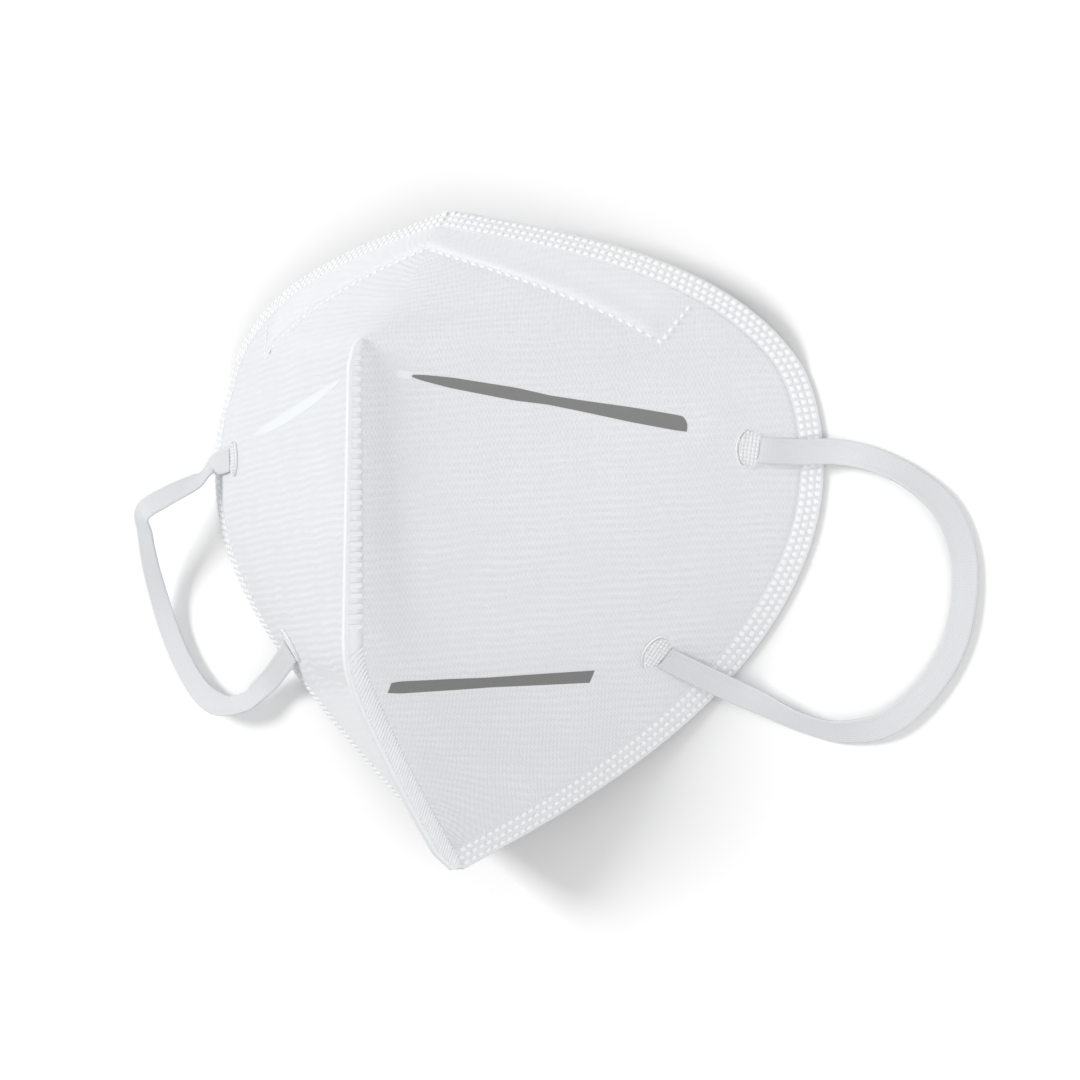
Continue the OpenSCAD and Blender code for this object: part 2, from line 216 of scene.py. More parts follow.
class Finish:
    """A material: node() adds any node, with its settings first and then what feeds it."""

    def __init__(self, name, roughness, **sockets):
        self.material = bpy.data.materials.new(name)
        self.material.use_nodes = True
        self.tree = self.material.node_tree
        self.shader = self.tree.nodes["Principled BSDF"]
        self.shader.inputs["Roughness"].default_value = roughness
        for socket, value in sockets.items():
            name = socket.replace("_", " ").title().replace("Ior", "IOR")
            self.shader.inputs[name].default_value = value

    def node(self, kind, settings=None, values=None, output=0):
        made = self.tree.nodes.new("ShaderNode" + kind)
        for key, value in (settings or {}).items():
            setattr(made, key, value)
        for key, value in (values or {}).items():
            self.feed(made.inputs[key], value)
        return Signal(self, made.outputs[output])

    def feed(self, socket, value):
        if isinstance(value, Signal):
            self.tree.links.new(value.socket, socket)
        else:
            socket.default_value = value

    def weave(self):
        """Place on the cloth in metres: from the ridge or along a cord, and the other way."""
        place = self.node("UVMap", {"uv_map": "weave"})
        parts = self.node("SeparateXYZ", values={0: place})
        return place, parts, Signal(self, parts.socket.node.outputs[1])

    def noise(self, place, size, detail=3.0):
        """Soft random values around 0.5, with features of that size in metres."""
        return self.node("TexNoise", values={"Vector": place, "Scale": 1 / size, "Detail": detail})

    def colour(self, factor, dark, light):
        mixed = self.node("Mix", {"data_type": "RGBA"},
                          {0: factor, 6: (*dark, 1), 7: (*light, 1)}, output=2)
        self.feed(self.shader.inputs["Base Color"], mixed)

    def bump(self, height, depth):
        """Height runs from 0 to 1 and stands for that depth in metres."""
        normal = self.node("Bump", values={"Height": height, "Distance": depth, "Strength": 1.0})
        self.feed(self.shader.inputs["Normal"], normal)


strap_lift = 0.0007
melted_lift = 0.0004
strap_start = 0.0024
hinge_out = 0.0042
free_out = hinge_out + 0.001
upper_spot = np.array([half_w - 0.0138, ear_y + 0.004])
lower_spot = np.array([0.052, -0.026])
upper_way = np.array([1, -0.1, 0])
lower_way = np.array([0.8, -0.6, 0])
right_route = [[0.084, 0.020, 0.005], [0.092, 0.020, 0.0025], [0.101, 0.018, 0.003],
               [0.110, 0.014, 0.0035], [0.118, 0.007, 0.0025], [0.122, -0.003, 0.0015],
               [0.122, -0.014, 0.0012], [0.119, -0.025, 0.0012], [0.112, -0.035, 0.0015],
               [0.103, -0.042, 0.002], [0.092, -0.044, 0.0025], [0.082, -0.042, 0.003],
               [0.073, -0.038, 0.0045], [0.066, -0.035, 0.006]]
left_route = [[0.084, 0.0195, 0.0055], [0.0874, 0.0157, 0.008], [0.0936, 0.0116, 0.013],
              [0.0991, 0.0075, 0.016], [0.1009, 0.0021, 0.013], [0.1029, -0.0068, 0.008],
              [0.1028, -0.0155, 0.0045], [0.1007, -0.0239, 0.003], [0.0962, -0.0324, 0.003],
              [0.0893, -0.0398, 0.004], [0.0818, -0.0426, 0.005], [0.0744, -0.0411, 0.005],
              [0.071, -0.0385, 0.005], [0.066, -0.035, 0.006]]
# How far the elastic rolls about its own length at each point of its route, in degrees
right_roll = [0, 0, 8, 30, 42, 30, 12, 0, 0, 0, 10, 30, 34, 16, 0, 0]
left_roll = [0, 0, 4, 8, 12, 8, 2, 0, 0, 0, -8, -34, -26, -10, 0, 0]


def spot_frame(spot, way):
    """The place of a weld spot, the way its elastic leaves, across it, and out of the skin."""
    normal = skin_normal(spot)
    ahead = unit(way - (way @ normal) * normal)
    return skin(spot), ahead, np.cross(normal, ahead), normal


def spot_point(spot, way, out, lift):
    place, ahead, _, normal = spot_frame(spot, way)
    return place + out * ahead + lift * normal


def catmull(points, s):
    """A smooth curve through the points; s runs from 0 to the last point's number."""
    points, n = np.asarray(points, float), len(points) - 1
    k = np.clip(np.floor(s).astype(int), 0, n - 1)
    t = (s - k).reshape(-1, *[1] * (points.ndim - 1))
    a, b = points[np.maximum(k - 1, 0)], points[k]
    c, d = points[k + 1], points[np.minimum(k + 2, n)]
    return 0.5 * (2 * b + (c - a) * t + (2 * a - 5 * b + 4 * c - d) * t * t
                  + (3 * b - a - 3 * c + d) * t ** 3)


def knitted_elastic():
    """Fine lengthwise ribs, crossed by the courses of the knitting, with soft edges."""
    finish = Finish("knitted elastic", 0.72, sheen_weight=0.25, sheen_roughness=0.5)
    place, along, over = finish.weave()
    ribs = over.wave(0.0005) * 0.5 + 0.5
    courses = along.wave(0.0007) * 0.5 + 0.5
    fuzz = finish.noise(place, 0.0004, 4)
    finish.bump(ribs * 0.45 + courses * 0.1 + fuzz * 0.45, 0.00009)
    finish.colour(ribs * 0.3 + courses * 0.2 + fuzz * 0.5,
                  (0.66, 0.675, 0.695), (0.75, 0.762, 0.78))
    return finish.material


elastic = knitted_elastic()
# The strap's cross-section: place across it, and half of its thickness there
strap_section = [(-0.003, 0.0001), (-0.00285, 0.00027), (-0.0025, 0.00034), (-0.0021, 0.00026),
                 (-0.001, 0.0003), (0, 0.0003), (0.001, 0.0003), (0.0021, 0.00026),
                 (0.0025, 0.00034), (0.00285, 0.00027), (0.003, 0.0001)]


def ear_loop(name, mid, roll, side):
    """A flat strap swept along its route; side is 1 on the right and -1 on the left."""
    route = [spot_point(upper_spot, upper_way, strap_start, melted_lift),
             spot_point(upper_spot, upper_way, free_out, strap_lift), *mid,
             spot_point(lower_spot, lower_way, free_out, strap_lift),
             spot_point(lower_spot, lower_way, strap_start, melted_lift)]
    rings = 220
    s = np.linspace(0, len(route) - 1, rings)
    centre = catmull(route, s)
    turn = np.radians(catmull([0, *roll, 0], s))
    way = unit(np.gradient(centre, axis=0))
    off = np.hypot(centre[:, 0], centre[:, 1] - ear_y / 2)
    foot = np.interp(centre[:, 1], edge[:, 1], edge[:, 0])
    clear = np.clip((off - np.hypot(foot, centre[:, 1] - ear_y / 2) + 0.004) / 0.016, 0, 1)[:, None]
    under = np.stack([np.minimum(centre[:, 0], foot - 0.004), centre[:, 1]], -1)
    out = unit(skin_normal(under) * (1 - clear) + np.array([0, 0, 1]) * clear)
    flat = unit(out - (out * way).sum(-1, keepdims=True) * way)
    beside = np.cross(way, flat)
    cos, sin = np.cos(turn)[:, None], np.sin(turn)[:, None]
    beside, flat = beside * cos + flat * sin, flat * cos - beside * sin
    loop = strap_section + [(a, -t) for a, t in reversed(strap_section)]
    sides = len(loop)
    melt = (0.45 + 0.55 * np.clip(np.minimum(s, s[::-1]) / 0.5, 0, 1))[:, None]
    points = np.stack([centre + a * beside + t * melt * flat for a, t in loop], 1).reshape(-1, 3)
    run = travel_along(centre)
    other_face = 0.02
    uv = [(r, a + (other_face if k >= sides / 2 else 0))
          for r in run for k, (a, t) in enumerate(loop)]
    faces = swept_faces(rings, sides)
    points[:, 0] *= side
    centre[:, 0] *= side
    if side < 0:
        faces = [f[::-1] for f in faces]
    piece = make_piece(name, points, faces, elastic, uv)
    return piece, centre, run[-1]


hinge = 0.5 * (spot_point(upper_spot, upper_way, hinge_out, 0)
               + spot_point(lower_spot, lower_way, hinge_out, 0))
outward = np.array([0.906, -0.423, 0.0])
bend_start, bend_end = hinge - 0.0016 * outward, hinge + 0.0022 * outward
for side, body, mid, roll in ((1, "right", right_route, right_roll),
                              (-1, "left", left_route, left_roll)):
    strap, centre, length = ear_loop(f"ear_strap_{body}", mid, roll, side)
    mirror = np.array([side, 1, 1])
    tuple(bend_start * mirror)
    tuple(bend_end * mirror)
    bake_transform(strap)
    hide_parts(f"ear_loop_{body}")
    centre[::3].tolist() + [centre[-1].tolist()]

# ---- Outer ply ----
# The outside of the mask is one layer of spunbond polypropylene, pressed with fine bond points and
# ribs. It is stretched between the centre seam and the rim, over the wire and the pressed lines.
rim_w = 0.0044
outer_t = 0.0004
wire_inset = 0.0075
pocket_half = 0.056
upper_crease = np.array([[0.0095, 0.038], [half_w - 0.0253, 0.0265]])
lower_crease = np.array([[0.0032, -0.0335], [0.0394, -0.0315]])


def band_line(reach, mid_gap, end_gap, count):
    """A line inside the nose edge, right half, from the middle out to x = reach."""
    line = []
    for f in np.linspace(0, 1, count):
        gap = mid_gap + (end_gap - mid_gap) * f
        ts = np.arange(61) / 100
        line.append(inset(np.interp(max(f * reach, 0.0005), inset(ts, gap)[:, 0], ts), gap))
    return np.array(line)


pocket_line = band_line(pocket_half, 0.0098, 0.0156, 60)


def distance_to(line, x, y):
    """Distance from a line of points, seen from above, on the side that x lies."""
    flat = np.stack([np.abs(x).ravel(), y.ravel()], -1)
    near = [np.hypot(*(part[:, None] - line[None]).transpose(2, 0, 1)).min(1)
            for part in np.array_split(flat, max(1, len(flat) // 2000))]
    return np.concatenate(near).reshape(np.shape(x))


def smooth(v, low, high):
    t = np.clip((v - low) / (high - low), 0, 1)
    return t * t * (3 - 2 * t)


def line_distance(x, y, line):
    """Distance from a straight line between two points, on the side that x lies."""
    p = np.stack([np.abs(x), y], -1) - line[0]
    d = line[1] - line[0]
    t = np.clip(p @ d / (d @ d), 0, 1)
    return np.linalg.norm(p - t[..., None] * d, axis=-1)


def nose_crown(x, y):
    """How far the cloth rounds off below the sharp fold of the skin on the nose slope."""
    slope = (skin_z(0 * x, y) - skin_z(0 * x + 0.01, y)) / 0.01
    bend = 0.0075 * smooth(y, 0.045, 0.055) * (1 - 0.8 * smooth(y, 0.064, 0.0735)) + 1e-9
    return slope * (np.hypot(x, bend) - np.abs(x))


def crowned_z(x, y):
    """Height of the skin where it rounds off over the nose."""
    return skin_z(x, y) - nose_crown(x, y)


def relief(x, y):
    """How far the outer ply stands off the even skin: waves, the wire's strip and pressed lines."""
    x, y = np.asarray(x, float), np.asarray(y, float)
    gap = distance_to(edge, x, y)
    calm = smooth(gap, rim_w, 0.018) * smooth(np.abs(x), 0.001, 0.014)
    side = np.where(x < 0, 1.7, 0.0)
    wave = (np.sin(95 * x + 60 * y + 1.1 + side) + np.sin(-48 * x + 118 * y + 2.3 - side)
            + 0.6 * np.sin(150 * x - 70 * y + 0.4 + 2 * side)
            + 0.5 * np.sin(210 * y + 35 * x + side))
    nose = smooth(y, 0.0, 0.02)
    seam_gap = distance_to(pocket_line, x, y)
    strip = (smooth(gap, rim_w - 0.0002, rim_w + 0.003) * smooth(seam_gap, 0.0001, 0.0012)
             * (0.35 + 0.65 * np.exp(-((seam_gap - 0.0018) / 0.0018) ** 2))
             * (y > np.interp(np.abs(x), pocket_line[:, 0], pocket_line[:, 1]))
             * (1 - smooth(np.abs(x), 0.053, 0.0565)) * nose)
    seam = np.exp(-(seam_gap / 0.0012) ** 2) * nose
    pressed = sum(np.exp(-(line_distance(x, y, line) / 0.0026) ** 2)
                  for line in (upper_crease, lower_crease))
    return (0.00022 * wave * calm + 0.0011 * strip - 0.00025 * seam - 0.0003 * pressed
            - nose_crown(x, y))


def blank_rows(count, columns):
    """Rows of points across a ply, from chin to nose, each from the left rim to the right rim."""
    knots = [0, 0.27, 0.74, 1]
    s = np.linspace(0, 1, count)
    ts = np.linspace(1.7, 2, 400)
    chin_t = np.interp(-0.0006, -inset(ts, rim_w)[:, 0], ts)
    chin_end = inset(chin_t, rim_w)[1] - 0.0004
    mid_y = np.interp(s, knots, [chin_end, -0.024, 0.044, half_l - rim_w])
    side = inset(np.interp(s, knots, [chin_t, 1.4, 0.46, 0.03]), rim_w - 0.0001)
    share = np.linspace(-1, 1, 2 * columns + 1)
    share = np.sign(share) * np.abs(share) ** 1.05
    x = side[:, :1] * share
    y = mid_y[:, None] + (side[:, 1:] - mid_y[:, None]) * np.abs(share)
    return x, y


def weave_uv(x, y):
    """Place on the flat cloth of each panel: across from the centre seam, and toward the nose."""
    ys = np.linspace(-half_l, half_l, 400)
    half = np.maximum(np.interp(y, edge[:, 1], edge[:, 0]), 0.0005)
    share = np.minimum(np.abs(x) / half, 1)
    across = np.sign(x) * np.hypot(x, skin_z(0 * x, y) - skin_z(x, y))
    halves = np.maximum(np.interp(ys, edge[:, 1], edge[:, 0]), 0.0005)
    grid = np.linspace(0, 1, 21)
    table = []
    for f in grid:
        run = travel_along(np.stack([ys, skin_z(f * halves, ys)], -1))
        table.append(run - np.interp(0.01, ys, run) + 0.01)
    table = np.array(table)
    fi = np.clip(share * 20, 0, 19.999)
    yi = np.clip((y + half_l) / (2 * half_l) * 399, 0, 398.999)
    a, b, u, v = fi.astype(int), yi.astype(int), fi % 1, yi % 1
    up = ((table[a, b] * (1 - v) + table[a, b + 1] * v) * (1 - u)
          + (table[a + 1, b] * (1 - v) + table[a + 1, b + 1] * v) * u)
    return np.stack([across, up], -1).reshape(-1, 2)


def slab(name, x, y, top, bottom, finish, uv=True):
    """A closed sheet between two heights over a grid of points; rows run toward +Y, columns +X."""
    n, m = x.shape
    top = np.stack([x, y, top], -1).reshape(-1, 3)
    low = np.stack([x, y, bottom], -1).reshape(-1, 3)
    k = (np.arange(n - 1)[:, None] * m + np.arange(m - 1)).ravel()
    size = n * m
    faces = np.concatenate([
        np.stack([k, k + 1, k + m + 1, k + m], -1),
        np.stack([size + k, size + k + m, size + k + m + 1, size + k + 1], -1)]).tolist()
    ring = ([*range(m)] + [i * m + m - 1 for i in range(1, n)]
            + [(n - 1) * m + j for j in range(m - 2, -1, -1)]
            + [i * m for i in range(n - 2, 0, -1)])
    faces += [(b, a, size + a, size + b) for a, b in zip(ring, ring[1:] + ring[:1])]
    coords = np.tile(weave_uv(x, y), (2, 1)) if uv else None
    return make_piece(name, np.concatenate([top, low]), faces, finish, coords)


def fold_with_mask(piece, *nodes, slot):
    """Bake the piece in place and hide the parts of the model that it draws."""
    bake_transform(piece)
    if nodes:
        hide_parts(*nodes)


def spunbond(name, dark, light, depth, rib=0.5):
    """Spunbond cloth: staggered bond points, uneven crosswise ribs and loose fibres."""
    finish = Finish(name, 0.68, sheen_weight=0.2, sheen_roughness=0.45, specular_ior_level=0.4)
    place, across, along = finish.weave()
    loose = Signal(finish, finish.node("Attribute", {"attribute_name": "loose"}, output=2).socket)
    sway = finish.noise(place, 0.012, 2)
    rows = along + sway * 0.0022 - across * 0.06
    ribs = rows.wave(0.00185) * 0.5 + 0.5
    knots = across.wave(0.0009) * rows.wave(0.00185) * 0.5 + 0.5
    patch = finish.noise(place, 0.011, 2).step(0.25, 0.75)
    stretched = finish.node("VectorMath", {"operation": "MULTIPLY"}, {0: place, 1: (1, 2.5, 1)})
    fibres = finish.noise(stretched, 0.0008, 5)
    height = fibres * 0.5 + ribs * (patch * 0.6 + 0.4) * rib + knots * 0.22
    finish.bump(height * loose, depth)
    finish.colour((knots * 0.25 + fibres * 0.45 + ribs * patch * 0.3) * loose + (1 - loose) * 0.7,
                  dark, light)
    return finish.material


def looseness(piece, share):
    """How far the cloth shows its own texture at each point, from 0 where it is pressed smooth."""
    layer = piece.data.attributes.new("loose", "FLOAT", "POINT")
    layer.data.foreach_set("value", np.asarray(share, np.float32).ravel())


def cloth_share(x, y):
    """Smooth beside the left of the centre seam, on the left chin fold and along the wire."""
    beside_fin = smooth(-x, 0.0015, 0.007) + (x > 0) + smooth(y, 0.025, 0.04)
    chin_fold = 1 - 0.75 * (x < 0) * smooth(-y - 0.03 - 0.1 * np.abs(x), 0, 0.006)
    nose = y > np.interp(np.abs(x), pocket_line[:, 0], pocket_line[:, 1]) - 0.0005
    wire_strip = 1 - 0.35 * nose * (1 - smooth(np.abs(x), 0.054, 0.058)) * smooth(y, 0.02, 0.03)
    return np.clip(0.2 + 0.8 * beside_fin, 0, 1) * chin_fold * wire_strip


outer_cloth = spunbond("embossed spunbond", (0.74, 0.75, 0.775), (0.9, 0.91, 0.93), 0.0003)
x, y = blank_rows(190, 92)
height = skin_z(x, y) + relief(x, y)
outer = slab("outer_cloth", x, y, height, height - outer_t, outer_cloth)
looseness(outer, np.tile(cloth_share(x, y).ravel(), 2))
fold_with_mask(outer, "outer_ply_left", "outer_ply_right", "outer_ply_folds", slot="outer_fabric")

# ---- Inner plies ----
# Under the outer ply lie a fluffy support layer, two fine meltblown filter layers and a smooth
# inner layer that touches the face. All are cut to the same shape and welded in at the rim.
# Each lies between two depths below the outside of the mask.
support_cloth = spunbond("thermal bonded fleece", (0.7, 0.7, 0.69), (0.84, 0.84, 0.83), 0.0003, 0.1)
filter_cloth = spunbond("meltblown filter", (0.8, 0.8, 0.8), (0.88, 0.88, 0.88), 0.00008, 0.0)
inner_cloth = spunbond("inner spunbond", (0.68, 0.69, 0.7), (0.8, 0.81, 0.82), 0.00012, 0.25)
x, y = blank_rows(120, 60)
height = skin_z(x, y) + relief(x, y)
for ply, top, low, cloth, layer, slot_name in (
        ("support_ply", 0.0012, 0.00195, support_cloth, "outer_cloth", "support_fabric"),
        ("filter_ply_1", 0.0020, 0.00225, filter_cloth, "support_cloth", "filter_fabric"),
        ("filter_ply_2", 0.0023, 0.00255, filter_cloth, "filter_1_cloth", "filter_fabric"),
        ("inner_ply", 0.0026, 0.00295, inner_cloth, "filter_2_cloth", "inner_fabric")):
    cut = slab(ply.replace("_ply", "") + "_cloth", x, y, height - top, height - low, cloth)
    looseness(cut, np.ones(2 * x.size))
    fold_with_mask(cut, f"{ply}_left", f"{ply}_right", f"{ply}_folds", slot=slot_name)

# ---- Rim ----
# All the plies are fused into one stiff band around the edge, pressed by a toothed wheel that
# leaves three rows of small square points and a plain outer margin.
rim_thick = 0.001


def beside_edge(q, d):
    """A point d inside the edge, with q from 0 at the nose to 2 at the chin along that line."""
    ts = np.linspace(0, 2, 1201)
    u = unit(rim(np.minimum(ts + 0.005, 2)) - rim(np.maximum(ts - 0.005, 0)))
    line = rim(ts) + d * np.stack([u[:, 1], -u[:, 0]], -1)
    line = line[line[:, 0] > -1e-9]
    line[0, 0] = line[-1, 0] = 0
    place = np.asarray(q) / 2 * (len(line) - 1)
    return np.stack([np.interp(place, np.arange(len(line)), line[:, k]) for k in (0, 1)], -1)


def face_out(piece):
    """Merge doubled points and turn every face outward."""
    bpy.ops.object.select_all(action="DESELECT")
    piece.select_set(True)
    bpy.context.view_layer.objects.active = piece
    bpy.ops.object.mode_set(mode="EDIT")
    bpy.ops.mesh.select_all(action="SELECT")
    bpy.ops.mesh.remove_doubles(threshold=1e-6)
    bpy.ops.mesh.normals_make_consistent(inside=False)
    bpy.ops.object.mode_set(mode="OBJECT")


def bevelled_block(offset, segments=1):
    """The points and faces of a unit cube with rounded edges, to be copied."""
    bpy.ops.object.select_all(action="DESELECT")
    bpy.ops.mesh.primitive_cube_add(size=1)
    block = bpy.context.object
    bpy.ops.object.mode_set(mode="EDIT")
    bpy.ops.mesh.select_all(action="SELECT")
    bpy.ops.mesh.bevel(offset=offset, segments=segments, affect="EDGES")
    bpy.ops.object.mode_set(mode="OBJECT")
    points = np.array([v.co for v in block.data.vertices])
    faces = [tuple(f.vertices) for f in block.data.polygons]
    bpy.data.meshes.remove(block.data)
    return points, faces


def copies(name, template, places, finish):
    """One piece made of copies of a template; a place is an origin and the three scaled axes."""
    shape, faces = template
    points = np.concatenate([origin + shape @ np.array(axes) for origin, axes in places])
    all_faces = [tuple(v + k * len(shape) for v in f) for k in range(len(places)) for f in faces]
    return make_piece(name, points, all_faces, finish)


def stamped_film(name, dark, light, roughness=0.5):
    """Cloth melted into film: smooth, faintly mottled, with a soft shine."""
    finish = Finish(name, roughness, specular_ior_level=0.45)
    place = finish.node("TexCoord", output=3)
    mottle = finish.noise(place, 0.0016, 3)
    grain = finish.noise(place, 0.0004, 3)
    finish.bump(mottle * 0.7 + grain * 0.3, 0.00008)
    finish.colour(mottle * 0.6 + grain * 0.4, dark, light)
    return finish.material


rim_film = stamped_film("rim film", (0.75, 0.76, 0.785), (0.86, 0.87, 0.89))
# The pressed points are coloured near white: partly the paler melted film, partly painted highlight
# for the shine of the film.
point_film_with_highlight = stamped_film("pressed point film with painted highlight", (0.93, 0.935, 0.945), (0.98, 0.98, 0.985), 0.4)
# The band's cross-section: distance inside the edge and height above the skin
rim_section = [(rim_w + 0.0001, -0.0002), (0.0041, 0.0001), (0.0034, 0), (0.00275, 0.0001),
               (0.0021, 0), (0.00145, 0.0001), (0.0008, 0), (0.00035, -0.00005),
               (0.0001, -0.0002), (0.00005, -0.00045), (0.0003, -0.0008), (0.001, -rim_thick),
               (rim_w + 0.0001, -rim_thick)]
turns = np.concatenate([np.linspace(0, 2, 241), np.linspace(2, 0, 241)[1:-1]])
sign = np.where(np.arange(len(turns)) < 241, 1, -1)
rows = []
for gap, lift in rim_section:
    flat = beside_edge(turns, gap)
    rows.append(np.stack([flat[:, 0] * sign, flat[:, 1], crowned_z(*flat.T) + lift], -1))
rim_band = make_piece("rim_band", np.stack(rows, 1).reshape(-1, 3),
                      swept_faces(len(turns), len(rim_section), closed=True), rim_film)
face_out(rim_band)
fold_with_mask(rim_band, "rim_weld_left", "rim_weld_right", "rim_weld_folds", slot="weld_film")


def on_skin(flat, ahead, size, lift):
    """A place for a copy on the skin: its long way lies along ahead, seen from above."""
    normal = skin_normal(np.array([abs(flat[0]), flat[1]])) * [np.sign(flat[0]) or 1, 1, 1]
    way = np.array([*ahead, 0.0])
    way = unit(way - (way @ normal) * normal)
    base = np.array([*flat, float(crowned_z(*flat)) + lift])
    return base, [way * size[0], np.cross(normal, way) * size[1], normal * size[2]]


point_pitch = 0.00179
places = []
for gap in (0.0008, 0.0021, 0.0034):
    walk = beside_edge(np.linspace(0, 2, 2400), gap)
    run = travel_along(walk)
    for stop in np.arange(0.0012, run[-1] - 0.001, point_pitch):
        k = int(np.searchsorted(run, stop))
        ahead = walk[min(k + 3, len(walk) - 1)] - walk[max(k - 3, 0)]
        for side in (1, -1):
            if walk[k][0] > 0.0008:
                places.append(on_skin(walk[k] * [side, 1], ahead * [side, 1],
                                      (0.0013, 0.0011, 0.00036), 0.00008))
rim_points = copies("rim_points", bevelled_block(0.22), places, point_film_with_highlight)
fold_with_mask(rim_points, slot="weld_film")

# ---- Centre seam ----
# The two panels meet in a welded fin that stands up along the ridge and runs on down to the chin.
# The welding horn leaves bars across it: coarse and square on the ridge, fine and slanted below.
wing_low = ridge_low + 0.004
fin_end = 0.0005 - half_l


def fin_height(y):
    return np.interp(y, [fin_end, -0.07, wing_low, 0.04, ridge_top - 0.0025, ridge_top],
                     [0.0028, 0.006, 0.007, 0.0042, 0.0026, 0.0002])


def fin_place(y, h, x):
    """A point of the fin: h out from the ridge line, x to the side."""
    y = np.asarray(y, float)
    slope = (middle_z(y - 0.0005) - middle_z(y + 0.0005)) / 0.001
    out = unit(np.stack([slope, np.ones_like(slope)], -1))
    return np.stack([x + 0 * y, np.maximum(y + h * out[..., 0], fin_end),
                     middle_z(y) + h * out[..., 1]], -1)


fin_film = stamped_film("fin film", (0.82, 0.83, 0.85), (0.91, 0.92, 0.935), 0.6)
bar_film = stamped_film("fin bar film", (0.82, 0.83, 0.85), (0.92, 0.93, 0.94), 0.55)
# The fin's cross-section from the left foot over the top to the right foot: side, and the height
# as a share of the fin with an allowance in metres
fin_section = [(-0.00042, 0, -0.0011), (-0.00042, 0.5, 0), (-0.00042, 1, -0.0013),
               (-0.00062, 1, -0.001), (-0.00066, 1, -0.0006), (-0.00055, 1, -0.00018),
               (-0.0002, 1, 0), (0.0002, 1, 0), (0.00055, 1, -0.00018), (0.00066, 1, -0.0006),
               (0.00062, 1, -0.001), (0.00042, 1, -0.0013), (0.00042, 0.5, 0),
               (0.00042, 0, -0.0011)]
ys = np.linspace(ridge_top, fin_end + 0.0002, 210)
low_end = np.minimum(fin_height(ys) / 0.003, 1)
rings = np.stack([fin_place(ys, fin_height(ys) * share + extra * (low_end if share else 1), side)
                  for side, share, extra in fin_section], 1)
fin = make_piece("centre_fin", rings.reshape(-1, 3), swept_faces(len(ys), len(fin_section)),
                 fin_film)
face_out(fin)
fold_with_mask(fin, "centre_seam", "chin_seam", slot="weld_film")

coarse_pitch, fine_pitch, fine_slant = 0.00235, 0.00108, math.tan(math.radians(15))
places = []
run = np.linspace(ridge_top - 0.0012, fin_end + 0.0012, 2000)
travel = travel_along(fin_place(run, 0, 0))
split = float(np.interp(-wing_low - 0.0015, -run, travel))
# Each bar's place along the ridge, slant, thickness, and distance of its top from the fin's
coarse = [(s, 0.0, 0.0013, 0.0009) for s in np.arange(0.0034, split - 0.001, coarse_pitch)]
fine = [(s, fine_slant, 0.00072, 0.0014)
        for s in np.arange(split + 0.0014, travel[-1] - 0.002, fine_pitch)]
for s, slant, thick, short in coarse + fine:
    y = float(np.interp(s, travel, run))
    low, top = -0.0002, float(fin_height(y)) - short
    for side in (1, -1):
        foot = fin_place(np.array(y), low, side * 0.00045)
        head = fin_place(np.array(float(np.interp(s + slant * (top - low), travel, run))), top,
                         side * 0.00045)
        long_way = head - foot
        sideways = np.array([side * 1.0, 0, 0])
        beside = np.cross(unit(long_way), sideways)
        places.append(((foot + head) / 2, [long_way, beside * thick, sideways * 0.00062]))
fin_bars = copies("fin_bars", bevelled_block(0.24, 2), places, bar_film)
face_out(fin_bars)
fold_with_mask(fin_bars, slot="weld_film")

# ---- Nose wire, foam and pocket ----
# A flat plastic-coated wire lies in a pocket between the outer plies, closed by a row of weld
# points. A strip of soft foam is stuck to the inside of the nose, behind the wire.
coated_wire = Finish("coated wire", 0.4, specular_ior_level=0.5)
coated_wire.bump(coated_wire.noise(coated_wire.node("TexCoord", output=3), 0.0008, 3), 0.00003)
coated_wire.colour(coated_wire.noise(coated_wire.node("TexCoord", output=3), 0.004, 3),
                   (0.6, 0.61, 0.63), (0.7, 0.71, 0.73))


def nose_strip(name, reach, gap, width, top, low, rounding, finish):
    """A strip beside the nose edge, with rounded sides, at a depth below the skin."""
    half = band_line(reach, gap, gap, 50)
    mid = np.concatenate([half[::-1] * [-1, 1], half[1:]])
    side = np.gradient(mid, axis=0)
    side = unit(np.stack([-side[:, 1], side[:, 0]], -1))
    taper = np.ones(len(mid))
    taper[[0, -1]], taper[[1, -2]] = 0.55, 0.85
    section = [(-0.5, 0.5), (-0.5 + rounding, 0), (-0.25, 0), (0, 0), (0.25, 0),
               (0.5 - rounding, 0), (0.5, 0.5), (0.5 - rounding, 1), (0, 1), (-0.5 + rounding, 1)]
    rings = []
    for across, share in section:
        flat = mid + side * (across * width * taper)[:, None]
        depth = top + (low - top) * share
        rings.append(np.stack([*flat.T, crowned_z(*flat.T) - depth], -1))
    strip = make_piece(name, np.stack(rings, 1).reshape(-1, 3),
                       swept_faces(len(mid), len(section)), finish)
    face_out(strip)
    return strip


wire = nose_strip("nose_wire_strip", 0.050, wire_inset, 0.003, 0.00055, 0.00105, 0.12,
                  coated_wire.material)
fold_with_mask(wire, "nose_wire", slot="nose_wire")

soft_foam = Finish("soft foam", 0.85, sheen_weight=0.2)
cells = soft_foam.node("TexVoronoi", values={"Vector": soft_foam.node("TexCoord", output=3),
                                             "Scale": 2200.0})
soft_foam.bump(cells, 0.00025)
soft_foam.colour(cells.step(0.1, 0.7), (0.78, 0.77, 0.73), (0.9, 0.89, 0.85))
foam = nose_strip("foam_strip", 0.036, 0.016, 0.009, 0.00325, 0.00625, 0.08, soft_foam.material)
fold_with_mask(foam, "nose_foam", slot="nose_foam")

pocket_pitch = 0.00235
run = travel_along(pocket_line)
marks = []
for stop in np.arange(0.0015, run[-1], pocket_pitch):
    at, ahead = (np.array([np.interp(t, run, pocket_line[:, k]) for k in (0, 1)])
                 for t in (stop, stop + 0.0005))
    marks.append((at, ahead - at + [1e-9, 0], 0.0014))
